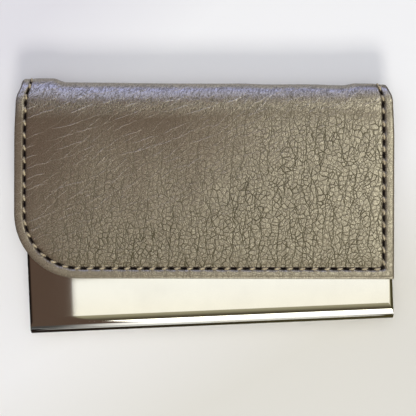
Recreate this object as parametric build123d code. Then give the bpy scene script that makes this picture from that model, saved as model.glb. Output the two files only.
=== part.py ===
"""Business card case: a folded steel clamshell, hinged at the back, in a stitched leather wrap.

Millimetres. +X runs along the hinge, +Y from the front lip to the spine and +Z up. The case lies on
its back cover, and the origin is on that resting face, under the middle of the steel tray.
"""

import math
import os

from build123d import *

# What the case holds.
CARD_LENGTH = 90.0
CARD_WIDTH = 54.0
LENGTH_CLEARANCE = 3.0
WIDTH_CLEARANCE = 2.2
CARD_ROOM = 7.8  # height from the tray floor to the lid

# Steel shells.
SHEET = 0.4
TRAY_BEND = 1.0
TRAY_CORNER = 1.6
LID_GAP = 0.2  # between the tray walls and the lid skirts
LIP_RADIUS = 4.5
LIP_CLEARANCE = 0.4  # from the tray's front wall up to the lid's lip
SKIRT_DEPTH = 5.4
SIDE_BEND = 1.45
REAR_BEND = 2.4

# Hinge.
PIN_RADIUS = 0.6
PIN_RUNNING = 0.05
HINGE_LENGTH = 76.0
KNUCKLES = 5
KNUCKLE_GAP = 0.2
HINGE_CLEARANCE = 0.25  # from a knuckle to the other shell's edge

# Closure: a magnet under the lid lands on a tab of the tray.
MAGNET_LENGTH = 10.0
MAGNET_WIDTH = 2.4
MAGNET_GAP = 0.3
MAGNET_INSET = 12.0  # from the end of the tray to the magnet's middle
TAB_SURROUND = 1.0

# Leather wrap, from the outside in.
LEATHER = 0.9
BOARD = 0.45
LINING = 0.35
ADHESIVE = 0.1
COVER_SKEW = 2.6  # degrees, clockwise from above: how far off square the wrap is glued
COVER_SHIFT = 0.9  # towards -X
SIDE_OVERHANG = 1.65
SPINE_GAP = 0.2  # least distance from the lining to the steel
SPINE_RADIUS = 4.0
STEEL_SHOWN = 12.9  # front strip that the flap leaves bare, at mid-length
FLAP_CORNER = 16.8  # large front left corner
SQUARE_CORNER = 0.8  # front right corner
BOARD_MARGIN = 3.4
BOARD_END = 1.0  # from the board to the spine
LINING_INSET = 0.15
ADHESIVE_INSET = 1.0

# Stitching, laid flush in a groove.
STITCH_MARGIN = 2.5
NEEDLE_WIDTH = 0.7
NEEDLE_DEPTH = 0.35
NEEDLE_RECESS = 0.05
BOBBIN_WIDTH = 0.5
BOBBIN_DEPTH = 0.25

# Levels.
COVER_STACK = LEATHER + BOARD + LINING + ADHESIVE
TRAY_BOTTOM = COVER_STACK
FLOOR_TOP = TRAY_BOTTOM + SHEET
LID_UNDER = FLOOR_TOP + CARD_ROOM
LID_TOP = LID_UNDER + SHEET
TOP = LID_TOP + COVER_STACK
HINGE_Z = (TRAY_BOTTOM + LID_TOP) / 2
SKIRT_BOTTOM = LID_TOP - SKIRT_DEPTH

# Tray plan.
INNER_X = (CARD_LENGTH + LENGTH_CLEARANCE) / 2
INNER_Y = (CARD_WIDTH + WIDTH_CLEARANCE) / 2
TRAY_X = INNER_X + SHEET
TRAY_Y = INNER_Y + SHEET

# Lid plan. Its rear wall is tangent to the back of the knuckles, and the tray's to their front.
KNUCKLE_RADIUS = PIN_RADIUS + PIN_RUNNING + SHEET
HINGE_Y = INNER_Y + KNUCKLE_RADIUS
LID_X = TRAY_X + LID_GAP + SHEET
LID_FRONT = -(TRAY_Y + LID_GAP + SHEET)
LID_REAR = HINGE_Y + KNUCKLE_RADIUS
LIP_Y = LID_FRONT + LIP_RADIUS
LID_FLAT_END = LID_REAR - REAR_BEND

# The tray's front wall stops where the lid's lip curves in over it.
LIP_INNER = LIP_RADIUS - SHEET
LIP_RISE = math.sqrt(LIP_INNER**2 - (LIP_INNER - LID_GAP) ** 2)
WALL_TOP = LID_TOP - LIP_RADIUS + LIP_RISE - LIP_CLEARANCE
REAR_EDGE = HINGE_Z + KNUCKLE_RADIUS + HINGE_CLEARANCE

# Wrap plan, in the wrap's own skewed frame.
SKEW = math.radians(COVER_SKEW)
COVER_X = LID_X + SIDE_OVERHANG
FLAP_EDGE = LID_FRONT + STEEL_SHOWN


def in_cover_y(x, y):
    """Y, in the wrap's frame, of a point of the steel case."""
    return (x + COVER_SHIFT) * math.sin(SKEW) + y * math.cos(SKEW)


SPINE_INNER = in_cover_y(LID_X, LID_REAR) + SPINE_GAP
SPINE_Y = SPINE_INNER + COVER_STACK - ADHESIVE
PANEL_END = in_cover_y(-LID_X, LID_FLAT_END)
COVER_PLACE = Location((-COVER_SHIFT, 0, 0), (0, 0, -COVER_SKEW))


def block(x, y, z):
    """A box from its ranges along X, Y and Z."""
    size = [high - low for low, high in (x, y, z)]
    middle = [(high + low) / 2 for low, high in (x, y, z)]
    return Pos(*middle) * Box(*size)


def rounded(low, high, radii):
    """A rectangle from corner to corner. radii maps corners such as (0, 1), low X and high Y, to radii."""
    middle = [(a + b) / 2 for a, b in zip(low, high)]
    face = Pos(*middle) * Rectangle(high[0] - low[0], high[1] - low[1])
    for (i, j), radius in radii.items():
        corner = ((low, high)[i][0], (low, high)[j][1])
        vertex = face.vertices().sort_by_distance((*corner, 0))[0]
        face = fillet(vertex, radius)
    return face


def rod(radius, x0, x1):
    """A cylinder on the hinge axis."""
    place = Pos((x0 + x1) / 2, HINGE_Y, HINGE_Z) * Rot(0, 90, 0)
    return place * Cylinder(radius, x1 - x0)


def knuckle_spans():
    """The X range of each knuckle. The even ones are the tray's."""
    pitch = HINGE_LENGTH / KNUCKLES
    start = -HINGE_LENGTH / 2
    return [(start + i * pitch + KNUCKLE_GAP / 2, start + (i + 1) * pitch - KNUCKLE_GAP / 2) for i in range(KNUCKLES)]


def tub(x, y, bottom, top, corner, bend):
    """A block with rounded upright corners and a rounded underside."""
    solid = block((-x, x), (-y, y), (bottom, top))
    solid = fillet(solid.edges().filter_by(Axis.Z), corner)
    return fillet(solid.faces().sort_by(Axis.Z)[0].edges(), bend)


def magnet_spots():
    """The X of each magnet's middle, by the name of its side."""
    spot = TRAY_X - MAGNET_INSET
    return {"left": -spot, "right": spot}


def tray_shell():
    outer = tub(TRAY_X, TRAY_Y, TRAY_BOTTOM, WALL_TOP, TRAY_CORNER, TRAY_BEND)
    inner = tub(INNER_X, INNER_Y, FLOOR_TOP, WALL_TOP + 1, TRAY_CORNER - SHEET, TRAY_BEND - SHEET)
    shell = outer - inner
    rear = (INNER_Y - SHEET / 2, TRAY_Y + 1)
    between = (TRAY_CORNER - TRAY_X, TRAY_X - TRAY_CORNER)
    shell -= block(between, rear, (HINGE_Z, WALL_TOP + 1))
    spans = knuckle_spans()
    low_edge = HINGE_Z - KNUCKLE_RADIUS - HINGE_CLEARANCE
    for x0, x1 in spans[1::2]:
        shell -= block((x0 - KNUCKLE_GAP, x1 + KNUCKLE_GAP), rear, (low_edge, WALL_TOP + 1))
    for x0, x1 in spans[::2]:
        shell += rod(KNUCKLE_RADIUS, x0, x1)
    shell -= rod(PIN_RADIUS, -HINGE_LENGTH, HINGE_LENGTH)
    half = MAGNET_LENGTH / 2 + TAB_SURROUND
    tab_end = LIP_Y + MAGNET_WIDTH + TAB_SURROUND / 2
    for x in magnet_spots().values():
        tab = block((x - half, x + half), (-INNER_Y - SHEET / 2, tab_end), (WALL_TOP - SHEET, WALL_TOP))
        tab = fillet(tab.edges().filter_by(Axis.Z).group_by(Axis.Y)[-1], TAB_SURROUND)
        shell += tab
    return shell


def lid_block(inset, bottom):
    """The lid's outer form, or its inside with inset at one sheet. Its corners are mitred."""
    radii = {(0, 1): LIP_RADIUS - inset, (1, 1): REAR_BEND - inset}
    profile = rounded((LID_FRONT + inset, bottom), (LID_REAR - inset, LID_TOP - inset), radii)
    half = LID_X - inset
    along = extrude(Plane.YZ.offset(-half) * profile, 2 * half)
    bend = SIDE_BEND - inset
    profile = rounded((-half, bottom), (half, LID_TOP - inset), {(0, 1): bend, (1, 1): bend})
    across = extrude(Plane.XZ.offset(-LID_REAR) * profile, LID_REAR - LID_FRONT)
    return along & across


def lid_shell():
    shell = lid_block(0, SKIRT_BOTTOM) - lid_block(SHEET, SKIRT_BOTTOM - 1)
    all_x = (-LID_X - 1, LID_X + 1)
    shell -= block(all_x, (TRAY_Y, LID_REAR + 1), (SKIRT_BOTTOM - 1, REAR_EDGE))
    for x0, x1 in knuckle_spans()[1::2]:
        shell += block((x0, x1), (LID_REAR - SHEET, LID_REAR), (HINGE_Z, REAR_EDGE + SHEET))
        shell += rod(KNUCKLE_RADIUS, x0, x1)
    return shell - rod(PIN_RADIUS + PIN_RUNNING, -HINGE_LENGTH, HINGE_LENGTH)


def hinge_pin():
    return rod(PIN_RADIUS, -HINGE_LENGTH / 2, HINGE_LENGTH / 2)


def magnet(x):
    half = MAGNET_LENGTH / 2
    return block((x - half, x + half), (LIP_Y, LIP_Y + MAGNET_WIDTH), (WALL_TOP + MAGNET_GAP, LID_UNDER))


def panel_outline(inset, end=PANEL_END):
    """Either panel of the wrap, up to the spine. The back panel lies square under the flap."""
    radii = {(0, 0): FLAP_CORNER - inset, (1, 0): max(SQUARE_CORNER - inset, BOARD)}
    return rounded((inset - COVER_X, FLAP_EDGE + inset), (COVER_X - inset, end), radii)


def layer(outline, depth0, depth1, top):
    """A flat layer between two depths from the wrap's outside, on the upper panel or the under one."""
    z0, z1 = (TOP - depth1, TOP - depth0) if top else (depth0, depth1)
    return extrude(Pos(0, 0, z0) * outline, z1 - z0)


def thread_outline(width):
    return panel_outline(STITCH_MARGIN - width / 2) - panel_outline(STITCH_MARGIN + width / 2)


def panel_pieces(top):
    """The layers and threads of one panel, in the wrap's frame."""
    board = layer(panel_outline(BOARD_MARGIN, PANEL_END - BOARD_END), LEATHER, LEATHER + BOARD, top)
    needle = layer(thread_outline(NEEDLE_WIDTH), NEEDLE_RECESS, NEEDLE_DEPTH, top)
    groove = layer(thread_outline(NEEDLE_WIDTH), 0, NEEDLE_DEPTH, top)
    leather = layer(panel_outline(0), 0, LEATHER + BOARD, top) - board - groove
    lined = LEATHER + BOARD + LINING
    bobbin = layer(thread_outline(BOBBIN_WIDTH), lined - BOBBIN_DEPTH, lined, top)
    lining = layer(panel_outline(LINING_INSET), LEATHER + BOARD, lined, top) - bobbin
    return {
        "leather": leather,
        "board": board,
        "lining": lining,
        "needle_thread": needle,
        "bobbin_thread": bobbin,
    }


def spine_solid(depth, x0, x1, start=PANEL_END):
    """The wrap's spine, filled in, with this much taken off all round."""
    radius = SPINE_RADIUS - depth
    profile = rounded((start, depth), (SPINE_Y - depth, TOP - depth), {(1, 0): radius, (1, 1): radius})
    return extrude(Plane.YZ.offset(x0) * profile, x1 - x0)


def spine_layer(depth0, depth1, x0, x1):
    return spine_solid(depth0, x0, x1) - spine_solid(depth1, x0 - 1, x1 + 1, PANEL_END - 1)


def spine_threads(depth0, depth1, width):
    """A run of thread near each end of the spine, by the name of its side."""
    spots = {"left": STITCH_MARGIN - COVER_X, "right": COVER_X - STITCH_MARGIN}
    return {side: spine_layer(depth0, depth1, x - width / 2, x + width / 2) for side, x in spots.items()}


def spine_pieces():
    board_x = COVER_X - BOARD_MARGIN
    lining_x = COVER_X - LINING_INSET
    lined = LEATHER + BOARD + LINING
    pieces = {"interlining": spine_layer(LEATHER, LEATHER + BOARD, -board_x, board_x)}
    leather = spine_layer(0, LEATHER + BOARD, -COVER_X, COVER_X) - pieces["interlining"]
    lining = spine_layer(LEATHER + BOARD, lined, -lining_x, lining_x)
    for groove in spine_threads(-1, NEEDLE_DEPTH, NEEDLE_WIDTH).values():
        leather -= groove
    for side, needle in spine_threads(NEEDLE_RECESS, NEEDLE_DEPTH, NEEDLE_WIDTH).items():
        pieces[f"needle_thread_{side}"] = needle
    for side, bobbin in spine_threads(lined - BOBBIN_DEPTH, lined, BOBBIN_WIDTH).items():
        pieces[f"bobbin_thread_{side}"] = bobbin
        lining -= bobbin
    return {**pieces, "leather": leather, "lining": lining}


def adhesive(steel_half_x, steel_y, top):
    """The glue film, where a panel lies on flat steel."""
    low = (ADHESIVE_INSET - steel_half_x, steel_y[0] + ADHESIVE_INSET)
    high = (steel_half_x - ADHESIVE_INSET, steel_y[1] - ADHESIVE_INSET)
    steel = layer(rounded(low, high, {}), COVER_STACK - ADHESIVE, COVER_STACK, top)
    return steel & COVER_PLACE * layer(panel_outline(ADHESIVE_INSET), COVER_STACK - ADHESIVE, COVER_STACK, top)


def build():
    nodes = {"tray_shell": tray_shell(), "lid_shell": lid_shell(), "hinge_pin": hinge_pin()}
    for side, x in magnet_spots().items():
        nodes[f"magnet_{side}"] = magnet(x)
    for name, top in (("front", True), ("back", False)):
        for piece, solid in panel_pieces(top).items():
            nodes[f"{name}_{piece}"] = COVER_PLACE * solid
    for piece, solid in spine_pieces().items():
        nodes[f"spine_{piece}"] = COVER_PLACE * solid
    tray_flat = (TRAY_BEND - TRAY_Y, TRAY_Y - TRAY_BEND)
    nodes["front_adhesive"] = adhesive(LID_X - SIDE_BEND, (LIP_Y, LID_FLAT_END), True)
    nodes["back_adhesive"] = adhesive(TRAY_X - TRAY_BEND, tray_flat, False)
    return nodes


os.makedirs("parts", exist_ok=True)
for node, shape in build().items():
    export_step(shape, f"parts/{node}.step")
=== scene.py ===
import math

import bmesh
import bpy
import numpy as np
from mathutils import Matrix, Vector


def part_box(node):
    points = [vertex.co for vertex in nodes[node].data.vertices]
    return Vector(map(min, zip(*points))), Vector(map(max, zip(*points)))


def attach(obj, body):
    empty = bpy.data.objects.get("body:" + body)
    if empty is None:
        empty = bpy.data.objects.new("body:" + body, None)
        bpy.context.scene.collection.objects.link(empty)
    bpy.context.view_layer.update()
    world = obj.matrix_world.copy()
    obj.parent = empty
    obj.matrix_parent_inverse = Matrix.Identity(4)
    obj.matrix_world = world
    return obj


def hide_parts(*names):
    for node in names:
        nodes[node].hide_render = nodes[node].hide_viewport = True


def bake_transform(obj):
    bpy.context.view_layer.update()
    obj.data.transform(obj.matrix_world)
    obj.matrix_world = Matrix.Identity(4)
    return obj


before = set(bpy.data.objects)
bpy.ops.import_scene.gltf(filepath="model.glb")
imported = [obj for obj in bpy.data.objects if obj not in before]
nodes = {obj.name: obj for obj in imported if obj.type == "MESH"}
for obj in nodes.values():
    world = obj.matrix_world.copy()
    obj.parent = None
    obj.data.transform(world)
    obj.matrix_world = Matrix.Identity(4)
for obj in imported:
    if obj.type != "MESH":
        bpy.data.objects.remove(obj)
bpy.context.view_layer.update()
MM = 0.001

# ---------------------------------------------------------------- sizes, in millimetres
# The wrap's own frame: turned by SKEW about the row's origin, then moved by SHIFT along X.
SKEW, SHIFT = math.radians(-2.6), -0.9
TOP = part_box("front_leather")[1].z / MM  # outside of the flap
MID = TOP / 2
HALF_X = 49.15                          # half the wrap's length
FRONT = -16.2                           # front edge of either panel
PANEL_END = 25.66                       # where a panel turns into the spine
CORNER = 16.8                           # large front left corner
REAR = 34.26                            # outside of the spine
THICK = 1.35                            # leather and board
LINED = 1.7                             # and lining
SEAM = 2.6                              # edge to stitches
PITCH = 3.25


def to_row(points):
    """Points of the wrap's frame, in mm, as row frame points in metres."""
    c, s = math.cos(SKEW), math.sin(SKEW)
    out = np.empty_like(points)
    out[..., 0] = points[..., 0] * c - points[..., 1] * s + SHIFT
    out[..., 1] = points[..., 0] * s + points[..., 1] * c
    out[..., 2] = points[..., 2]
    return out * MM


# ---------------------------------------------------------------- noise
def hash2(i, j, seed):
    """A fixed pseudo-random number from 0 to 1 for each pair of integers."""
    n = (i.astype(np.int64) * 374761393 + j.astype(np.int64) * 668265263 + seed * 2246822519) & 0xFFFFFFFF
    n = ((n ^ (n >> 13)) * 1274126177) & 0xFFFFFFFF
    n = ((n ^ (n >> 16)) * 2654435761) & 0xFFFFFFFF
    return ((n >> 8) & 0xFFFF) / 65535.0


def smooth(low, high, x):
    """A smooth step from 0 at low to 1 at high. high may be the smaller of the two."""
    t = np.clip((x - low) / (high - low), 0, 1)
    return t * t * (3 - 2 * t)


def noise(x, y, size, seed):
    """Smooth noise from -1 to 1, with features of that size in mm."""
    x, y = x / size, y / size
    i, j = np.floor(x), np.floor(y)
    u, v = x - i, y - j
    u, v = u * u * u * (u * (u * 6 - 15) + 10), v * v * v * (v * (v * 6 - 15) + 10)
    a, b = hash2(i, j, seed), hash2(i + 1, j, seed)
    c, d = hash2(i, j + 1, seed), hash2(i + 1, j + 1, seed)
    return 2 * ((a * (1 - u) + b * u) * (1 - v) + (c * (1 - u) + d * u) * v) - 1


def cells(x, y, size, seed, stretch=1.0):
    """Cellular pattern: distance to the border between cells, in cell sizes, and a number for each cell."""
    x, y = x / size, y / (size * stretch)
    i0, j0 = np.floor(x), np.floor(y)
    near = np.full(x.shape, 9.0)
    nx, ny, tag = np.zeros_like(x), np.zeros_like(x), np.zeros_like(x)
    spots = []
    for di in (-2, -1, 0, 1, 2):
        for dj in (-2, -1, 0, 1, 2):
            i, j = i0 + di, j0 + dj
            px = i + 0.5 + 0.86 * (hash2(i, j, seed) - 0.5)
            py = j + 0.5 + 0.86 * (hash2(i, j, seed + 7) - 0.5)
            spots.append((px, py))
            d = (px - x) ** 2 + (py - y) ** 2
            closer = d < near
            near = np.where(closer, d, near)
            nx, ny = np.where(closer, px, nx), np.where(closer, py, ny)
            tag = np.where(closer, hash2(i, j, seed + 19), tag)
    border = np.full(x.shape, 9.0)
    for px, py in spots:
        gx, gy = px - nx, py - ny
        gap = np.hypot(gx, gy)
        line = (((px + nx) / 2 - x) * gx + ((py + ny) / 2 - y) * gy) / np.maximum(gap, 1e-6)
        border = np.where(gap > 1e-3, np.minimum(border, line), border)
    return border, tag


# ---------------------------------------------------------------- the wrap's outside
def edge_distance(x, y, spine):
    """Distance in from the wrap's cut edge. On the spine only the two ends count."""
    side = HALF_X - np.abs(x)
    if spine:
        return side
    front = y - FRONT
    k = 1.2
    both = np.minimum(side, front) - np.maximum(k - np.abs(side - front), 0) ** 2 / (4 * k)
    cx, cy = -HALF_X + CORNER, FRONT + CORNER
    round_ = CORNER - np.hypot(x - cx, y - cy)
    return np.where((x < cx) & (y < cy), round_, both)


def leather_relief(x, w, t, s, puff, front):
    """Height off the flat, and the numbers that NAMES lists. x and w lie flat along the leather, and t in
    from its edge, all in mm. s counts holes along the stitches, so it is whole at a hole. puff is how full
    the leather is."""
    inside = np.maximum(t - SEAM, 0)
    h = -0.42 * np.clip(1 - t / 0.75, 0, 1) ** 2.2
    h += -0.10
    h += puff * (0.36 * (1 - np.exp(-inside / 1.5)) + 0.14 * smooth(2, 16, inside))
    h -= 0.20 * np.exp(-((t - SEAM) / 0.42) ** 2)
    ds = (s - np.round(s)) * PITCH
    hole = np.exp(-(np.abs(ds) / 1.18) ** 4) * np.exp(-(np.abs(t - SEAM) / 0.42) ** 3)
    h -= 0.52 * hole
    pucker = np.cos(2 * math.pi * s) * np.exp(-np.abs(t - SEAM) / 0.9) * smooth(5.5, 3.5, t)
    h -= 0.035 * pucker
    # Slow waves of the glued leather.
    h += puff * (0.07 * noise(x, w, 17.0, 3) * smooth(3, 9, t) + 0.05 * noise(x, w, 7.0, 4) * smooth(3, 7, t))
    # Grain: domed pebbles between creases, soft on the left and rear and deep on the right and front.
    wx = x + 0.55 * noise(x, w, 2.6, 11) + 0.9 * noise(x, w, 7.5, 12)
    wy = w + 0.55 * noise(x, w, 2.6, 13) + 0.9 * noise(x, w, 7.5, 14)
    border, tag = cells(wx, wy, 2.05, 21, 0.86)
    border2, _ = cells(wx + 40, wy + 9, 1.05, 33, 0.9)
    deep = smooth(-0.62, 0.45, 0.50 * x / HALF_X + 0.42 * (9 - w) / 25 + 0.22 * noise(x, w, 15.0, 41))
    deep = deep * (1 - 0.55 * smooth(22, 30, w))
    strong = 0.45 + 0.55 * noise(wx, wy, 3.4, 42)
    crease = (1 - smooth(0.02, 0.20, border)) * np.clip(0.35 + 0.75 * strong, 0, 1)
    fine = (1 - smooth(0.02, 0.22, border2)) * smooth(-0.1, 0.7, noise(wx, wy, 2.7, 43))
    body = smooth(0.0, 0.42, border)
    press = 1 - 0.75 * (1 - smooth(1.2, 3.4, t))
    grain = 0.085 * (body - 1) + 0.045 * (tag - 0.5) * body
    grain -= 0.055 * crease + 0.022 * fine
    h += grain * (0.12 + 0.30 * deep) * press
    # Long stretched lines, where the grain is soft.
    lines = noise(x * 0.42 + 0.9 * w, w * 0.42 - 0.9 * x * 0.35, 1.5, 51)
    h += 0.012 * (1 - deep) * lines * smooth(3, 6, t)
    # Painted shade in the creases and fine lines, deepest where the grain is deep; it goes out as crease and
    # darkens the colour.
    dark = np.clip(crease * (0.25 + 0.95 * deep) + 0.45 * fine * deep, 0, 1) * press
    if front:  # a small crease across the front margin, towards the right, with painted shade in it
        dent = np.exp(-((x - 37.6) / 0.35) ** 2) * smooth(FRONT + 3.2, FRONT + 0.4, w)
        h -= 0.10 * dent
        dark = np.clip(dark + 0.35 * dent, 0, 1)
    margin = 1 - smooth(SEAM - 0.3, SEAM + 0.7, t)
    worn = smooth(1.2, 0.0, t)
    return h, np.stack([dark, hole, margin, worn, deep, x, w + 0 * x], -1)


# How far in from the edge each ring of a panel runs: close together at the edge and at the stitches.
LEVELS = [0, 0.1, 0.22, 0.38, 0.6, 0.9, 1.3, 1.7, 2.0, 2.2, 2.36,
          2.5, 2.64, 2.78, 2.92, 3.08, 3.3, 3.6, 4.0, 4.5, 5.1, 5.8]
TAU = LEVELS[-1]

# Stitch counts along the left side, corner and front together, and along the right side.
LEFT_LEN = PANEL_END - (FRONT + CORNER)
ARC_LEN = (CORNER - SEAM) * math.pi / 2
FRONT_LEN = 2 * HALF_X - CORNER - SEAM
RIGHT_LEN = PANEL_END - FRONT - SEAM
N_MAIN = round((LEFT_LEN + ARC_LEN + FRONT_LEN) / PITCH)
N_RIGHT = round(RIGHT_LEN / PITCH)


def path(t, counts):
    """Points, and stitch numbers, along the edge at t in from it: left side, corner, front and right side."""
    n1, n2, n3, n4 = counts
    a = np.linspace(0, 1, n1 + 1)[:-1]
    b = np.linspace(0, 1, n2 + 1)[:-1]
    c = np.linspace(0, 1, n3 + 1)[:-1]
    d = np.linspace(0, 1, n4 + 1)
    cx, cy = -HALF_X + CORNER, FRONT + CORNER
    turn, radius = b * math.pi / 2, CORNER - t
    xs = [np.full(n1, -HALF_X + t), cx - radius * np.cos(turn),
          cx + c * (HALF_X - t - cx), np.full(n4 + 1, HALF_X - t)]
    ys = [PANEL_END + a * (cy - PANEL_END), cy - radius * np.sin(turn),
          np.full(n3, FRONT + t), FRONT + t + d * (PANEL_END - FRONT - t)]
    total = LEFT_LEN + ARC_LEN + FRONT_LEN
    ss = [a * LEFT_LEN, LEFT_LEN + b * ARC_LEN, LEFT_LEN + ARC_LEN + c * FRONT_LEN]
    ss = [s / total * N_MAIN for s in ss] + [N_MAIN + d * N_RIGHT]
    return np.concatenate(xs), np.concatenate(ys), np.concatenate(ss)


def coons(counts):
    """The panel inside the ring of LEVELS, as a grid of points from rear to front and left to right."""
    n1, n2, n3, _ = counts
    px, py, _ = path(TAU, counts)
    m = n1 + n2 // 2
    nj = n2 - n2 // 2 + n3
    left = np.stack([px[: m + 1], py[: m + 1]], -1)
    bottom = np.stack([px[m : m + nj + 1], py[m : m + nj + 1]], -1)
    right = np.stack([px[m + nj :], py[m + nj :]], -1)[::-1]
    top = np.stack([np.linspace(-HALF_X + TAU, HALF_X - TAU, nj + 1), np.full(nj + 1, PANEL_END)], -1)
    v = np.linspace(0, 1, m + 1)[:, None, None]
    u = np.linspace(0, 1, nj + 1)[None, :, None]
    grid = (1 - v) * top[None] + v * bottom[None] + (1 - u) * left[:, None] + u * right[:, None]
    grid -= (1 - u) * (1 - v) * top[0] + u * (1 - v) * top[-1] + (1 - u) * v * bottom[0] + u * v * bottom[-1]
    return grid


class Mesh:
    """Quads gathered from grids of points that share places, with numbers for each point."""

    def __init__(self, names):
        self.names, self.points, self.values, self.faces, self.count = names, [], [], [], 0

    def add(self, points, values=None, flip=False):
        rows, cols = points.shape[:2]
        flat = points.reshape(-1, 3)
        values = np.zeros((rows, cols, len(self.names))) if values is None else values
        index = self.count + np.arange(rows * cols).reshape(rows, cols)
        quads = np.stack([index[:-1, :-1], index[:-1, 1:], index[1:, 1:], index[1:, :-1]], -1).reshape(-1, 4)
        self.points.append(flat)
        self.values.append(values.reshape(len(flat), len(self.names)))
        self.faces += (quads[:, ::-1] if flip else quads).tolist()
        self.count += rows * cols

    def cap(self, loop, flip=False):
        self.points.append(loop)
        self.values.append(np.zeros((len(loop), len(self.names))))
        ring = list(range(self.count, self.count + len(loop)))
        self.faces.append(ring[::-1] if flip else ring)
        self.count += len(loop)

    def make(self, name):
        """The object, with points that share a place made one."""
        points, values = np.concatenate(self.points), np.concatenate(self.values)
        mesh = bpy.data.meshes.new(name)
        mesh.from_pydata(to_row(points).tolist(), [], self.faces)
        for k, label in enumerate(self.names):
            layer = mesh.attributes.new(label, "FLOAT", "POINT")
            layer.data.foreach_set("value", values[:, k].astype(np.float32))
        welded = bmesh.new()
        welded.from_mesh(mesh)
        bmesh.ops.remove_doubles(welded, verts=welded.verts, dist=2e-6)
        welded.to_mesh(mesh)
        welded.free()
        mesh.shade_smooth()
        obj = bpy.data.objects.new(name, mesh)
        bpy.context.scene.collection.objects.link(obj)
        return obj


def spine_profile(x, rows):
    """For each x, y and z of points along the spine's outside from the flap to the back, its whole length,
    and how far along each point is, from 0 to 1."""
    left, right = smooth(13.0, 9.0, x + HALF_X), smooth(13.0, 9.5, HALF_X - x)
    rear = REAR + 0.35 - 0.45 * x / HALF_X + 1.15 * left + 0.55 * right + 0.10 * noise(x, x * 0, 9.0, 61)
    power = 2.55 + 0.35 * x / HALF_X
    reach = 6.3 - 0.9 * x / HALF_X + 0.6 * left
    phi = np.linspace(0, math.pi, 161)
    c, s = np.cos(phi), np.sin(phi)
    e = (2 / power)[:, None]
    y = (rear - reach)[:, None] + reach[:, None] * np.abs(s)[None] ** e
    z = MID + MID * np.sign(c)[None] * np.abs(c)[None] ** e
    # Straight stretches that join the panels.
    n = 40
    lead = np.linspace(0, 1, n, endpoint=False)[None]
    flat = PANEL_END + lead * (rear - reach - PANEL_END)[:, None]
    y = np.concatenate([flat, y, flat[:, ::-1]], 1)
    z = np.concatenate([np.full_like(flat, TOP), z, np.zeros_like(flat)], 1)
    step = np.hypot(np.diff(y, axis=1), np.diff(z, axis=1))
    length = np.concatenate([np.zeros((len(x), 1)), np.cumsum(step, 1)], 1)
    total = length[:, -1]
    want = np.linspace(0, 1, rows + 1)
    yy, zz = np.empty((rows + 1, len(x))), np.empty((rows + 1, len(x)))
    for k in range(len(x)):
        yy[:, k] = np.interp(want * total[k], length[k], y[k])
        zz[:, k] = np.interp(want * total[k], length[k], z[k])
    return yy, zz, total, want


def spine_pinch(x, y):
    """How far the ends of the spine draw in as it turns."""
    turn = smooth(29.0, 34.5, y)
    return np.sign(x) * -(0.35 * smooth(20, 31, y) + 1.15 * turn ** 1.5) * smooth(9, 0, HALF_X - np.abs(x))


def surface_normals(points):
    """Unit normals of a surface given as a grid of points."""
    du = np.gradient(points, axis=1)
    dv = np.gradient(points, axis=0)
    n = np.cross(du, dv)
    return n / np.maximum(np.linalg.norm(n, axis=-1, keepdims=True), 1e-9)


# How many columns the wrap has, and how many steps each panel's edge has along its left side, corner, front
# and right side. The corner's first half and the left side make as many rows as the right side has, and its
# second half and the front make the columns.
COLS = 288
FRONT_COUNTS = (90, 60, COLS - 30, 120)
BACK_COUNTS = (50, 44, COLS - 22, 72)
SPINE_ROWS = 46
NAMES = ["crease", "hole", "margin", "worn", "deep", "flat_x", "flat_w"]


def column_x():
    """Where the wrap's columns of points stand along X."""
    rings = np.array(LEVELS[:-1])
    middle = np.linspace(-HALF_X + TAU, HALF_X - TAU, COLS + 1)
    return np.concatenate([-HALF_X + rings, middle, HALF_X - rings[::-1]])


BACK_PUFF, BACK_SINK = 0.25, 0.06  # how full the back panel is, and how far it is pressed in


def panel_surface(x, y, s, top, length):
    """Points and values of a panel's outside. The back one is pressed flat where it lies on the table."""
    t = edge_distance(x, y, False)
    w = y if top else PANEL_END + length + (PANEL_END - y)
    h, values = leather_relief(x, w, t, s, 1.0 if top else BACK_PUFF, top)
    z = TOP + h if top else np.maximum(BACK_SINK - h, 0)
    points = np.stack([x + spine_pinch(x, y), y, z], -1)
    return points, values


def outward(x, y):
    """Direction out of the edge, in plan, at points along it."""
    cx, cy = -HALF_X + CORNER, FRONT + CORNER
    out = np.zeros((len(x), 3))
    corner = (x < cx) & (y < cy)
    side = ~corner & (y > FRONT + 0.01)
    out[:, 0] = np.where(corner, x - cx, np.where(side, np.sign(x), 0))
    out[:, 1] = np.where(corner, y - cy, np.where(side, 0, -1))
    return out / np.maximum(np.linalg.norm(out, axis=1, keepdims=True), 1e-9)


# The cut edge's profile, as steps out of the edge and down from the surface.
RIM = [(0.0, 0.0), (0.07, 0.12), (0.11, 0.30), (0.10, 0.50), (0.03, 0.68), (-0.12, 0.80), (-0.8, 0.83)]


def rim(mesh, edge, values, out, up, flip):
    """The cut edge, rounded over, down to the lining. The last row is returned."""
    up = np.broadcast_to(up, edge.shape)
    rows = np.stack([edge + a * out - b * up for a, b in RIM])
    values = np.repeat(values[None], len(RIM), 0)
    values[..., 3] = np.linspace(1, 0.4, len(RIM))[:, None]
    mesh.add(rows, values, flip=flip)
    return rows[-1]


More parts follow.
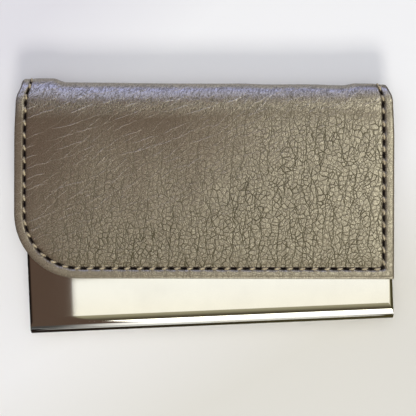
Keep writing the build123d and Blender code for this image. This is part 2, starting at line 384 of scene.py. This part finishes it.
def build_wrap():
    """One closed mesh: flap, spine and back, with its grain, pressed margin, stitch holes and cut edge."""
    mesh = Mesh(NAMES)
    xs = column_x()
    yy, zz, total, want = spine_profile(xs, SPINE_ROWS)
    length = float(total.mean())
    n_spine = round(length / PITCH)
    x = np.broadcast_to(xs, yy.shape)
    base = np.stack([x + spine_pinch(x, yy), yy, zz], -1)
    normal = surface_normals(np.stack([x, yy, zz], -1))
    # The spine's outside.
    w = PANEL_END + want[:, None] * length + 0 * x
    t = HALF_X - np.abs(x)
    run = want[:, None] + 0 * x
    puff = 1 + (BACK_PUFF - 1) * smooth(0, 1, run)
    h, values = leather_relief(x, w, t, run * n_spine, puff, False)
    bend = np.sin(math.pi * run) ** 2
    wrinkle = noise(x * 0.35, w * 1.6, 1.1, 71) + 0.6 * noise(x * 0.5 + w, w * 2.2, 0.9, 72)
    h = h + 0.028 * wrinkle * bend * smooth(3, 6, t) - BACK_SINK * smooth(0, 1, run)
    spine = base + normal * h[..., None]
    spine[..., 2] = np.maximum(spine[..., 2], 0)
    mesh.add(spine, values)
    # Its inside, and its two cut ends.
    picks = list(range(len(LEVELS), len(xs) - len(LEVELS), 24))
    inside = [base[:, k] - normal[:, k] * THICK for k in picks]
    ends = []
    for col, sign in ((0, -1.0), (-1, 1.0)):
        out = np.broadcast_to(np.array([sign, 0, 0]), spine[:, col].shape)
        ends.append(rim(mesh, spine[:, col], values[:, col], out, normal[:, col], flip=sign > 0))
    inside = np.stack([ends[0], *inside, ends[1]], 1)
    mesh.add(inside, flip=True)
    for top, counts in ((True, FRONT_COUNTS), (False, BACK_COUNTS)):
        loops = [path(t, counts) for t in LEVELS]
        px, py, ps = (np.stack([loop[k] for loop in loops]) for k in range(3))
        ring, ring_values = panel_surface(px, py, ps, top, length)
        grid = coons(counts)
        inner, inner_values = panel_surface(grid[..., 0], grid[..., 1], grid[..., 0] * 0, top, length)
        mesh.add(ring, ring_values, flip=not top)
        mesh.add(inner, inner_values, flip=top)
        up = np.array([0, 0, 1.0 if top else -1.0])
        last = rim(mesh, ring[0], ring_values[0], outward(px[0], py[0]), up, flip=top)
        row = inside[0 if top else -1]
        mesh.cap(np.concatenate([last, row[-2:0:-1]]), flip=top)
    return mesh.make("leather_wrap"), n_spine


wrap, N_SPINE = build_wrap()


# ---------------------------------------------------------------- lining, between the leather and the steel
def build_lining():
    """One closed sheet behind the leather, from the flap round the spine to the back."""
    mesh = Mesh([])
    inset, d0, d1 = 0.15, THICK + 0.01, LINED
    xs = np.linspace(-HALF_X + inset, HALF_X - inset, 41)
    yy, zz, _, _ = spine_profile(xs, SPINE_ROWS)
    x = np.broadcast_to(xs, yy.shape)
    normal = surface_normals(np.stack([x, yy, zz], -1))
    base = np.stack([x + spine_pinch(x, yy), yy, zz], -1)
    outer, inner = base - normal * d0, base - normal * d1
    mesh.add(outer)
    mesh.add(inner, flip=True)
    for col, flip in ((0, False), (-1, True)):
        mesh.add(np.stack([outer[:, col], inner[:, col]]), flip=flip)
    for top in (True, False):
        px, py, _ = path(inset, (20, 30, 60, 30))
        z0, z1 = (TOP - d0, TOP - d1) if top else (d0, d1)
        px = px + spine_pinch(px, py)
        a, b = (np.stack([px, py, np.full_like(px, z)], -1) for z in (z0, z1))
        mesh.add(np.stack([a, b]), flip=top)
        row0, row1 = (g[0 if top else -1] for g in (outer, inner))
        mesh.cap(np.concatenate([a, row0[-2:0:-1]]), flip=not top)
        mesh.cap(np.concatenate([b, row1[-2:0:-1]]), flip=top)
    return mesh.make("wrap_lining")


lining = build_lining()


# ---------------------------------------------------------------- stitches
def seam_points(s):
    """Plan places and directions along a panel's stitch line, s in stitches."""
    total = LEFT_LEN + ARC_LEN + FRONT_LEN
    a = np.where(s <= N_MAIN, s / N_MAIN * total, total + (s - N_MAIN) / N_RIGHT * RIGHT_LEN)
    cx, r = -HALF_X + CORNER, CORNER - SEAM
    turn = np.clip((a - LEFT_LEN) / ARC_LEN, 0, 1) * math.pi / 2
    x = cx - r * np.cos(turn) + np.clip(a - LEFT_LEN - ARC_LEN, 0, FRONT_LEN)
    y = PANEL_END - np.clip(a, 0, LEFT_LEN) - r * np.sin(turn) + np.clip(a - total, 0, RIGHT_LEN)
    right = a > total
    tx, ty = np.where(right, 0, np.sin(turn)), np.where(right, 1, -np.cos(turn))
    return np.stack([x, y], -1), np.stack([tx, ty], -1)


def threads(name, centres, along, up, length, radius, lift, dive, slant, seed):
    """Twisted threads, one for each centre, that rise out of one hole and dip into the next."""
    n = len(centres)
    steps, k = 12, 12  # along a thread and round it
    u = np.linspace(-1, 1, steps + 1)
    theta = np.linspace(0, 2 * math.pi, k, endpoint=False)
    side = np.cross(up, along)
    rng = np.random.RandomState(seed)
    verts, faces = [], []
    for q in range(n):
        tilt = math.radians(slant + rng.uniform(-5, 5))
        reach = length * rng.uniform(0.95, 1.04)
        t_dir = along[q] * math.cos(tilt) + side[q] * math.sin(tilt)
        s_dir = side[q] * math.cos(tilt) - along[q] * math.sin(tilt)
        height = lift + rng.uniform(-0.03, 0.03) - dive * np.abs(u) ** 2.6
        slope = np.gradient(height, u * reach / 2)
        centre = centres[q] + u[:, None] * (reach / 2) * t_dir + height[:, None] * up[q]
        tangent = t_dir[None] + slope[:, None] * up[q][None]
        tangent /= np.linalg.norm(tangent, axis=1, keepdims=True)
        nrm = np.cross(s_dir[None], tangent)
        phase = rng.uniform(0, 6)
        r = radius * (1 - 0.28 * np.abs(u) ** 3)
        lobes = 1 + 0.16 * np.cos(3 * (theta[None] - (u[:, None] * reach * 2.1 + phase)))
        rr = r[:, None] * lobes
        across = np.cos(theta)[None, :, None] * s_dir[None, None]
        upright = np.sin(theta)[None, :, None] * nrm[:, None]
        ring = centre[:, None] + rr[..., None] * (across + upright)
        first = len(verts)
        verts += ring.reshape(-1, 3).tolist()
        for i in range(steps):
            for j in range(k):
                a, b = first + i * k + j, first + i * k + (j + 1) % k
                faces.append([a, a + k, b + k, b])
        faces.append([first + j for j in range(k)])
        faces.append([first + steps * k + j for j in reversed(range(k))])
    mesh = bpy.data.meshes.new(name)
    mesh.from_pydata(to_row(np.array(verts)).tolist(), [], faces)
    mesh.shade_smooth()
    obj = bpy.data.objects.new(name, mesh)
    bpy.context.scene.collection.objects.link(obj)
    return obj


def panel_threads(name, top, depth, outside, seed, **size):
    """Stitches along a panel, on the leather or on the lining."""
    s = np.arange(N_MAIN + N_RIGHT) + 0.5
    plan, tangent = seam_points(s)
    up = 1.0 if top == outside else -1.0
    z = TOP - depth if top else depth
    pinch = spine_pinch(plan[:, 0], plan[:, 1])
    centres = np.stack([plan[:, 0] + pinch, plan[:, 1], np.full(len(s), z)], -1)
    along = np.concatenate([tangent, np.zeros((len(s), 1))], 1)
    return threads(name, centres, along, np.tile([0, 0, up], (len(s), 1)), seed=seed, **size)


def spine_stitches(name, depth, outside, seed, **size):
    """Stitches over the two ends of the spine."""
    xs = np.array([-HALF_X + SEAM, HALF_X - SEAM])
    rows = 240
    yy, zz, _, _ = spine_profile(xs, rows)
    centres, along, ups = [], [], []
    for k in (0, 1):
        line = np.stack([xs[k] + spine_pinch(xs[k] + 0 * yy[:, k], yy[:, k]), yy[:, k], zz[:, k]], -1)
        tangent = np.gradient(line, axis=0)
        tangent /= np.linalg.norm(tangent, axis=1, keepdims=True)
        normal = np.cross(np.array([[1.0, 0, 0]]), tangent)
        normal /= np.linalg.norm(normal, axis=1, keepdims=True)
        for q in range(N_SPINE):
            i = round((q + 0.5) / N_SPINE * rows)
            sunk = 0.24 * smooth(0.45, 0.95, q / N_SPINE) if outside else 0
            centres.append(line[i] - (depth + sunk) * normal[i])
            along.append(tangent[i])
            ups.append(normal[i] if outside else -normal[i])
    return threads(name, np.array(centres), np.array(along), np.array(ups), seed=seed, **size)


# Stitches in mm, with slant in degrees.
NEEDLE = {"length": 1.45, "radius": 0.25, "lift": 0.0, "dive": 0.75, "slant": 16}
BOBBIN = {"length": 2.9, "radius": 0.26, "lift": 0.06, "dive": 0.30, "slant": 0}
stitches = {
    "stitches_flap": panel_threads("stitches_flap", True, 0.10, True, 101, **NEEDLE),
    "stitches_back": panel_threads("stitches_back", False, 0.34, True, 102, **NEEDLE),
    "stitches_spine": spine_stitches("stitches_spine", 0.12, True, 103, **NEEDLE),
    "stitches_flap_inside": panel_threads("stitches_flap_inside", True, LINED, False, 104, **BOBBIN),
    "stitches_back_inside": panel_threads("stitches_back_inside", False, LINED, False, 105, **BOBBIN),
    "stitches_spine_inside": spine_stitches("stitches_spine_inside", LINED, False, 106, **BOBBIN),
}


# ---------------------------------------------------------------- materials
class Nodes:
    """Small helper for building a node material."""

    def __init__(self, name):
        self.material = bpy.data.materials.new(name)
        self.material.use_nodes = True
        self.tree = self.material.node_tree
        self.shader = self.tree.nodes["Principled BSDF"]

    def add(self, kind, **inputs):
        """A node, with its properties and inputs set by name. An input may be another node's output."""
        node = self.tree.nodes.new(kind)
        for key, value in inputs.items():
            if key in node.inputs.keys() and not hasattr(type(node), key):
                self.feed(node.inputs[key], value)
            else:
                setattr(node, key, value)
        return node

    def feed(self, socket, value):
        if isinstance(value, bpy.types.NodeSocket):
            self.tree.links.new(value, socket)
        else:
            socket.default_value = value

    def math(self, operation, a, b=0.0, c=0.0, clamp=False):
        node = self.add("ShaderNodeMath", operation=operation, use_clamp=clamp)
        for socket, value in zip(node.inputs, (a, b, c)):
            self.feed(socket, value)
        return node.outputs[0]

    def mix(self, factor, a, b):
        node = self.add("ShaderNodeMix", data_type="RGBA")
        self.feed(node.inputs["Factor"], factor)
        self.feed(node.inputs[6], (*a, 1) if isinstance(a, tuple) else a)
        self.feed(node.inputs[7], (*b, 1) if isinstance(b, tuple) else b)
        return node.outputs[2]

    def attribute(self, name):
        return self.add("ShaderNodeAttribute", attribute_name=name).outputs["Fac"]

    def vector(self, operation, a, b=None, scale=None):
        node = self.add("ShaderNodeVectorMath", operation=operation)
        self.feed(node.inputs[0], a)
        if b is not None:
            self.feed(node.inputs[1], b)
        if scale is not None:
            self.feed(node.inputs["Scale"], scale)
        return node.outputs[0]

    def turned(self, vector, angle, scale):
        """A flat place turned by an angle in degrees and then scaled."""
        node = self.add("ShaderNodeMapping", vector_type="TEXTURE")
        self.feed(node.inputs["Vector"], vector)
        node.inputs["Rotation"].default_value = (0, 0, math.radians(angle))
        node.inputs["Scale"].default_value = scale
        return node.outputs[0]

    def warp(self, vector, scale, amount):
        shift = self.vector("SUBTRACT", self.noise(scale, 2.0, 0.5, vector, "Color"), (0.5, 0.5, 0.5))
        return self.vector("ADD", vector, self.vector("SCALE", shift, scale=amount))

    def borders(self, vector, width):
        """1 on the borders between cells, falling to 0 at that width, in cells."""
        node = self.add("ShaderNodeTexVoronoi", feature="DISTANCE_TO_EDGE", Scale=1.0,
                        voronoi_dimensions="2D")
        self.feed(node.inputs["Vector"], vector)
        return self.range(node.outputs["Distance"], 0.0, width, 1.0, 0.0)

    def place(self):
        return self.add("ShaderNodeTexCoord").outputs["Object"]

    def noise(self, scale, detail=3.0, rough=0.5, vector=None, out="Fac"):
        node = self.add("ShaderNodeTexNoise", Scale=scale, Detail=detail, Roughness=rough)
        self.feed(node.inputs["Vector"], vector or self.place())
        return node.outputs[out]

    def stretch(self, scale):
        node = self.add("ShaderNodeMapping")
        self.feed(node.inputs["Vector"], self.place())
        node.inputs["Scale"].default_value = scale
        return node.outputs[0]

    def range(self, value, low, high, to_low=0.0, to_high=1.0):
        node = self.add("ShaderNodeMapRange")
        self.feed(node.inputs["Value"], value)
        for key, v in (("From Min", low), ("From Max", high), ("To Min", to_low), ("To Max", to_high)):
            self.feed(node.inputs[key], v)
        return node.outputs[0]

    def bump(self, height, distance, strength=1.0):
        node = self.add("ShaderNodeBump")
        node.inputs["Distance"].default_value = distance
        node.inputs["Strength"].default_value = strength
        self.feed(node.inputs["Height"], height)
        return node.outputs[0]

    def set(self, **values):
        for key, value in values.items():
            self.feed(self.shader.inputs[key.replace("_", " ")], value)
        return self.material


def leather_material():
    """Creases, wrinkles and pores are laid out on the leather as it lies flat, in mm."""
    m = Nodes("leather_taupe")
    crease, hole, margin, worn, deep, flat_x, flat_w = (m.attribute(n) for n in NAMES)
    joined = m.add("ShaderNodeCombineXYZ")
    m.feed(joined.inputs["X"], flat_x)
    m.feed(joined.inputs["Y"], flat_w)
    flat = joined.outputs[0]
    warped = m.warp(m.warp(flat, 0.12, 5.0), 0.7, 0.45)

    def lines_along(where, angle, apart, thin, gone, whole):
        """Long wavy lines, apart mm from each other. Where a slow noise is under whole they are faint, and
        under gone there are none."""
        split = m.add("ShaderNodeSeparateXYZ")
        m.feed(split.inputs[0], m.turned(where, angle, (1, 1, 1)))
        part = m.math("FRACT", m.math("DIVIDE", split.outputs["Y"], apart))
        line = m.range(m.math("ABSOLUTE", m.math("SUBTRACT", part, 0.5)), 0.0, thin / apart, 1.0, 0.0)
        slow = m.noise(0.36, 2.0, 0.5, m.turned(flat, angle, (2.6, 0.8, 1)))
        return m.math("MULTIPLY", line, m.range(slow, gone, whole))

    wavy = m.warp(m.warp(flat, 0.22, 2.6), 0.8, 0.6)
    long_creases = m.math("MAXIMUM", lines_along(wavy, 84, 2.3, 0.26, 0.34, 0.50),
                          lines_along(wavy, 106, 3.1, 0.25, 0.38, 0.54))
    short_creases = m.borders(m.turned(warped, -24, (1.15, 1.2, 1)), 0.19)
    some = m.range(m.noise(0.45, 2.0, 0.5, warped), 0.42, 0.60)
    short_creases = m.math("MULTIPLY", short_creases, m.range(some, 0, 1, 0.70, 1.0))
    pores = m.borders(m.turned(m.warp(flat, 2.0, 0.5), 35, (0.50, 0.46, 1)), 0.20)
    lines = m.math("MAXIMUM", m.math("MAXIMUM", long_creases, short_creases), m.math("MULTIPLY", pores, 0.32))
    depth = m.range(deep, 0, 0.7, 0.30, 1.0)
    pressed = m.math("SUBTRACT", 1.0, m.math("MULTIPLY", margin, 0.35))
    # Painted shade in the creases and pores: this mask darkens the colour below, and also sinks the bump and
    # dulls the gloss.
    shaded_creases = m.math("MULTIPLY", m.math("MULTIPLY", lines, depth), pressed)
    # Fine raised wrinkles, where the grain is shallow; below, they are also coloured lighter as a painted
    # highlight.
    bent = m.warp(m.warp(flat, 0.10, 3.0), 0.45, 0.9)
    often = m.range(deep, 0.04, 0.25, 0.35, 1.0)
    ridge = m.math("MAXIMUM", lines_along(bent, 19, 2.5, 0.14, 0.42, 0.55),
                   m.math("MULTIPLY", lines_along(bent, 40, 1.9, 0.13, 0.42, 0.56), often))
    wrinkle = m.math("MULTIPLY", ridge, m.range(deep, 0.2, 0.9, 1.0, 0.35))
    # Where the leather turns into the spine it is creased across, and the folds are painted as shade.
    folds = m.noise(1.0, 2.0, 0.55, m.turned(m.warp(flat, 0.3, 1.5), 68, (1.9, 0.8, 1)))
    fold = m.range(m.math("ABSOLUTE", m.math("SUBTRACT", folds, 0.5)), 0.0, 0.07, 1.0, 0.0)
    turning = m.math("MULTIPLY", m.range(flat_w, 22.0, 28.0), m.range(flat_w, 40.0, 34.0))
    fold = m.math("MULTIPLY", fold, turning)
    wrinkle = m.math("MULTIPLY", wrinkle, pressed)
    shaded_creases = m.math("MAXIMUM", shaded_creases, m.math("MULTIPLY", fold, 0.8))
    speck = m.noise(3.6, 3.0, 0.7, flat)
    broad = m.noise(0.05, 2.0, 0.5, flat)
    colour = m.mix(m.range(broad, 0.3, 0.7), (0.101, 0.062, 0.040), (0.116, 0.074, 0.048))
    # Pale specks, most where the grain is deep: random tone, and also painted highlights on the grain's
    # plates.
    pale = m.math("MULTIPLY", m.range(speck, 0.40, 0.68), m.range(deep, 0, 1, 0.06, 0.85))
    colour = m.mix(pale, colour, (0.31, 0.27, 0.175))
    # Painted highlight on the raised wrinkles, as if they caught the light.
    colour = m.mix(m.math("MULTIPLY", wrinkle, 0.85), colour, (0.34, 0.27, 0.20))
    # Painted shade: the creases, pores and spine folds are coloured dark, as if shade fell in them.
    colour = m.mix(shaded_creases, colour, (0.030, 0.024, 0.003))
    # Painted shade in the grain's creases, from the mesh's crease numbers.
    colour = m.mix(m.math("MULTIPLY", crease, 0.25), colour, (0.05, 0.04, 0.024))
    colour = m.mix(m.math("MULTIPLY", margin, 0.25), colour, (0.20, 0.165, 0.115))
    colour = m.mix(m.math("MULTIPLY", worn, 0.35), colour, (0.12, 0.095, 0.065))
    # Painted shade in the stitch holes, near black.
    colour = m.mix(hole, colour, (0.006, 0.004, 0.005))
    height = m.math("SUBTRACT", m.math("MULTIPLY", wrinkle, 0.35), m.math("MULTIPLY", shaded_creases, 0.34))
    height = m.math("ADD", height, m.math("MULTIPLY", speck, m.range(deep, 0, 1, 0.015, 0.06)))
    normal = m.bump(height, 0.00011, 1.0)
    rough = m.math("ADD", m.range(speck, 0.3, 0.7, 0.22, 0.32), m.math("MULTIPLY", shaded_creases, 0.2))
    rough = m.math("ADD", rough, m.math("MULTIPLY", hole, 0.4), clamp=True)
    gloss = m.math("SUBTRACT", 0.5, m.math("MULTIPLY", shaded_creases, 0.47))
    gloss = m.math("SUBTRACT", gloss, m.math("MULTIPLY", hole, 0.5), clamp=True)
    gloss = m.math("MULTIPLY", gloss, m.range(speck, 0.34, 0.66, 0.66, 1.30))
    polish = m.math("MAXIMUM", m.range(deep, 0.0, 0.60, 0.30, 1.15), m.range(flat_w, 24.0, 28.5, 0.0, 1.45))
    gloss = m.math("MULTIPLY", gloss, polish)
    m.set(Base_Color=colour, Roughness=rough, Normal=normal, IOR=2.7, Specular_IOR_Level=gloss)
    m.shader.inputs["Specular Tint"].default_value = (1.0, 0.955, 0.77, 1)
    return m.material


def steel_material(name, rough=0.035, smear=0.012, tint=(0.80, 0.785, 0.735)):
    m = Nodes(name)
    brush = m.noise(700, 2.0, 0.5, m.stretch((1.0, 0.03, 1.0)))
    marks = m.noise(90, 4.0, 0.6)
    r = m.math("ADD", m.range(marks, 0.45, 0.75, rough, rough + smear), m.range(brush, 0.4, 0.7, 0.0, smear))
    dull = tuple(c * 0.94 for c in tint)
    m.set(Base_Color=m.mix(m.range(marks, 0.4, 0.8), tint, dull), Roughness=r, Metallic=1.0)
    m.set(Normal=m.bump(brush, 0.0000015, 0.25))
    return m.material


def thread_material(name, light, dark):
    m = Nodes(name)
    strand = m.noise(2600, 2.0)
    colour = m.mix(m.range(strand, 0.3, 0.7), dark, light)
    m.set(Base_Color=colour, Roughness=0.42, Normal=m.bump(strand, 0.00003, 0.6))
    m.shader.inputs["Sheen Weight"].default_value = 0.25
    return m.material


def fabric_material(name, light, dark, scale=1300):
    m = Nodes(name)
    weave = m.noise(scale, 3.0, 0.65)
    colour = m.mix(m.range(weave, 0.3, 0.7), dark, light)
    m.set(Base_Color=colour, Roughness=0.88, Normal=m.bump(weave, 0.00006, 0.8))
    m.shader.inputs["Sheen Weight"].default_value = 0.35
    return m.material


def plain_material(name, colour, rough, metallic=0.0, scale=400):
    m = Nodes(name)
    grain = m.noise(scale, 3.0)
    dark, light = tuple(0.9 * c for c in colour), tuple(min(1.06 * c, 1) for c in colour)
    m.set(Base_Color=m.mix(m.range(grain, 0.3, 0.7), dark, light),
          Roughness=m.range(grain, 0.3, 0.7, rough * 0.9, rough * 1.1), Metallic=metallic)
    return m.material


def dress(obj, material):
    """The object's one material."""
    obj.data.materials.clear()
    obj.data.materials.append(material)


dress(wrap, leather_material())
dress(lining, fabric_material("lining_suede", (0.115, 0.095, 0.068), (0.07, 0.055, 0.04)))
needle = thread_material("thread_gold", (0.60, 0.50, 0.30), (0.30, 0.22, 0.11))
bobbin = thread_material("thread_inside", (0.34, 0.27, 0.17), (0.2, 0.15, 0.09))
for name, obj in stitches.items():
    dress(obj, bobbin if name.endswith("inside") else needle)
mirror = steel_material("steel_mirror")
dress(nodes["lid_shell"], mirror)
dress(nodes["tray_shell"], mirror)
dress(nodes["hinge_pin"], steel_material("steel_pin", 0.22, 0.08, (0.6, 0.59, 0.56)))
for side in ("left", "right"):
    dress(nodes[f"magnet_{side}"], steel_material(f"nickel_{side}", 0.16, 0.06, (0.66, 0.64, 0.58)))
for side in ("front", "back"):
    dress(nodes[f"{side}_board"], plain_material(f"board_{side}", (0.42, 0.34, 0.23), 0.85))
    dress(nodes[f"{side}_adhesive"], plain_material(f"adhesive_{side}", (0.62, 0.52, 0.3), 0.4))

# The wrap, its lining and the spine's stitches are baked where they stand; the flap's stitches go with the
# lid, and the back's with the base.
for obj in (wrap, lining, stitches["stitches_spine"], stitches["stitches_spine_inside"]):
    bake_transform(obj)
for name, obj in stitches.items():
    if "flap" in name:
        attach(obj, "lid")
    elif "back" in name:
        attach(obj, "base")
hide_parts("front_leather", "spine_leather", "back_leather")
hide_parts("front_lining", "spine_lining", "back_lining", "spine_interlining")
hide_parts("front_needle_thread")
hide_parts("back_needle_thread")
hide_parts("spine_needle_thread_left", "spine_needle_thread_right")
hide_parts("front_bobbin_thread")
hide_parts("back_bobbin_thread")
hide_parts("spine_bobbin_thread_left", "spine_bobbin_thread_right")
# How far it is round the spine's outside, at the wrap's middle.
around = spine_profile(np.zeros(1), SPINE_ROWS)[2][0]


# ---------------------------------------------------------------- floor, lights and camera
def plane(name, centre, size, turn=(0, 0, 0)):
    """A flat rectangle that is no part of the object. Its own coordinates run from -0.5 to 0.5."""
    bpy.ops.mesh.primitive_plane_add(size=1, location=centre, rotation=turn)
    obj = bpy.context.active_object
    obj.name = name
    obj.scale = (*size, 1)
    return obj


def glow(name, low, high, strength, axis="X", start=-1.0, end=1.0, fade=None):
    """An emitting material, plain or shaded from one side of the card to the other. fade is (axis, start,
    end, least), which dims it from 1 at end down to least at start."""
    material = bpy.data.materials.new(name)
    material.use_nodes = True
    tree = material.node_tree
    tree.nodes.clear()
    out = tree.nodes.new("ShaderNodeOutputMaterial")
    emit = tree.nodes.new("ShaderNodeEmission")
    place = tree.nodes.new("ShaderNodeTexCoord")
    split = tree.nodes.new("ShaderNodeSeparateXYZ")
    mix = tree.nodes.new("ShaderNodeMix")
    mix.data_type = "RGBA"
    tree.links.new(place.outputs["Object"], split.inputs[0])

    def ramp(axis, start, end, to_low, to_high):
        node = tree.nodes.new("ShaderNodeMapRange")
        for key, value in (("From Min", start), ("From Max", end), ("To Min", to_low), ("To Max", to_high)):
            node.inputs[key].default_value = value
        node.interpolation_type = "SMOOTHSTEP"
        tree.links.new(split.outputs[axis], node.inputs["Value"])
        return node.outputs[0]

    tree.links.new(ramp(axis, start, end, 0.0, 1.0), mix.inputs["Factor"])
    mix.inputs[6].default_value, mix.inputs[7].default_value = (*low, 1), (*high, 1)
    tree.links.new(mix.outputs[2], emit.inputs["Color"])
    if fade:
        axis, start, end, least = fade
        tree.links.new(ramp(axis, start, end, least * strength, strength), emit.inputs["Strength"])
    else:
        emit.inputs["Strength"].default_value = strength
    tree.links.new(emit.outputs[0], out.inputs[0])
    return material


def reflector(name, centre, size, material, turn=(0, 0, 0)):
    """A card that only shows in gloss."""
    card = plane(name, centre, size, turn)
    dress(card, material)
    card.visible_camera = card.visible_diffuse = card.visible_shadow = card.visible_transmission = False


FLOOR = 6
floor = plane("floor", (0, 0, -0.00005), (FLOOR, FLOOR))
fm = Nodes("floor_pale")
apart = fm.add("ShaderNodeSeparateXYZ")
fm.feed(apart.inputs[0], fm.place())


def slope(a, b, low, high):
    """0 to 1 across the floor, from low to high in metres along the direction (a, b)."""
    across, back = (fm.math("MULTIPLY", apart.outputs[axis], part) for axis, part in (("X", a), ("Y", b)))
    along = fm.math("ADD", across, back)
    return fm.range(along, low / FLOOR, high / FLOOR)


tone = fm.mix(fm.range(fm.noise(3, 1.0), 0.3, 0.7), (0.865, 0.84, 0.79), (0.88, 0.855, 0.805))
# The floor's tone is painted light and shade: lighter towards the rear, darker and warmer towards the front
# right, and a darker lavender painted shadow at the rear left, behind the case.
tone = fm.mix(slope(0.3, 0.95, -0.030, 0.045), tone, (0.945, 0.93, 0.895))
tone = fm.mix(slope(0.45, -0.89, 0.012, 0.044), tone, (0.75, 0.72, 0.63))
tone = fm.mix(slope(-0.62, 0.78, 0.040, 0.070), tone, (0.80, 0.775, 0.78))
fm.set(Base_Color=tone, Roughness=0.6, Specular_IOR_Level=0.0)
dress(floor, fm.material)

# The cards that the steel and the leather mirror, in metres. Of those straight above, the dark one ends at
# side, where the cream one starts, and the cream one runs from strip to split.
CREAM, BROWN, OLIVE, WHITE = (1.0, 0.985, 0.875), (0.105, 0.068, 0.05), (0.42, 0.39, 0.26), (1, 0.99, 0.96)
SHADE, DUSK = (0.020, 0.014, 0.012), (0.07, 0.06, 0.025)
UPRIGHT, SIDEWAYS = (math.pi / 2, 0, 0), (0, math.pi / 2, 0)
ceiling, side, split, strip = 0.46, -0.0935, -0.043, -0.078
reflector("overhead_cream", (side + 0.75, (split + strip) / 2, ceiling), (1.5, split - strip),
          glow("overhead_cream", (1.0, 0.955, 0.80), (1.0, 1.0, 0.95), 1.17, "Y", -0.6, 0.5))
reflector("overhead_wide", (side, split, ceiling + 0.01), (3.0, 3.0),
          glow("overhead_wide", SHADE, CREAM, 3.3, "X", -0.018, 0.046), (0, 0, math.radians(-54)))
reflector("overhead_sky", (0, 0.31 + 0.60, ceiling), (3.0, 1.2),
          glow("overhead_sky", (0.66, 0.76, 1.3), (0.62, 0.64, 0.85), 1.6, "X", -0.1, 0.1))
reflector("overhead_dark", (side - 0.6, split - 0.69, ceiling), (1.2, 1.5),
          glow("overhead_dark", BROWN, BROWN, 1.0))
reflector("overhead_front", (side + 0.75, strip - 0.235, ceiling), (1.5, 0.47),
          glow("overhead_front", (0.09, 0.075, 0.045), OLIVE, 1.0, "Y", -0.15, 0.49))
reflector("front_white", (0, -1.2, 0.53), (3.4, 1.0),
          glow("front_white", (0.16, 0.15, 0.11), WHITE, 1.5, "Y", 0.485, 0.16, ("X", -0.066, -0.02, 0.05)),
          UPRIGHT)
reflector("left_dark", (-0.9, 0, 0.24), (0.5, 3.0), glow("left_dark", BROWN, BROWN, 0.3), SIDEWAYS)
reflector("right_olive", (1.0, 0, 0.24), (0.5, 3.0), glow("right_olive", DUSK, DUSK, 1.0), SIDEWAYS)
reflector("rear_sky", (0, 1.0, 0.42), (3.0, 0.84),
          glow("rear_sky", (0.88, 0.98, 1.80), (0.52, 0.61, 1.25), 2.0, "X", -0.085, -0.045), UPRIGHT)
# Cards that lie just above the floor, for the steel's edges to mirror. They are dark sheets that stand for
# shade on the floor beside the case; floor_left turns to the floor's pale tone at its right.
reflector("near_front", (0.0, -0.0445, 0.0002), (0.13, 0.023),
          glow("near_front", SHADE, DUSK, 1.0, "X", -0.4, 0.4))
reflector("floor_left", (-0.10, -0.256, 0.0001), (0.20, 0.40),
          glow("floor_left", SHADE, (0.80, 0.80, 0.76), 1.0, "X", 0.15, 0.42))
reflector("near_left", (-0.476, -0.01, 0.0002), (0.85, 0.30), glow("near_left", SHADE, SHADE, 0.5))
reflector("near_right", (0.475, -0.01, 0.0002), (0.85, 0.30), glow("near_right", DUSK, DUSK, 1.0))


def area(name, place, target, size, energy, colour):
    """A soft light that shows neither to the camera nor in gloss."""
    light = bpy.data.lights.new(name, "AREA")
    light.shape, light.size, light.size_y = "RECTANGLE", size[0], size[1]
    light.energy, light.color = energy, colour
    obj = bpy.data.objects.new(name, light)
    obj.location = place
    obj.rotation_euler = (Vector(target) - Vector(place)).to_track_quat("-Z", "Y").to_euler()
    bpy.context.scene.collection.objects.link(obj)
    obj.visible_camera = obj.visible_glossy = False


area("key_front", (0.04, -0.79, 0.74), (0, 0, 0), (0.26, 0.26), 5.0, (1.0, 0.985, 0.95))
area("fill_top", (-0.05, 0.1, 1.1), (0, 0, 0), (1.1, 1.1), 5.6, (0.98, 0.985, 1.0))

world = bpy.data.worlds.new("room")
bpy.context.scene.world = world
world.use_nodes = True
world.node_tree.nodes["Background"].inputs[0].default_value = (0.82, 0.86, 1.0, 1)
world.node_tree.nodes["Background"].inputs[1].default_value = 0.42

camera = bpy.data.objects.new("camera", bpy.data.cameras.new("camera"))
bpy.context.scene.collection.objects.link(camera)
HEIGHT = 0.28        # above the flap
VIEW_WIDTH = 0.1075  # what the camera takes in at the flap
camera.data.sensor_width = 36.0
camera.data.lens = camera.data.sensor_width * HEIGHT / VIEW_WIDTH
camera.location = (0.0002, 0.0020, TOP * MM + HEIGHT)
camera.rotation_euler = (0, 0, math.radians(-2.45))
camera.data.clip_start = 0.01
bpy.context.scene.camera = camera
bpy.context.scene.view_settings.view_transform = "Standard"
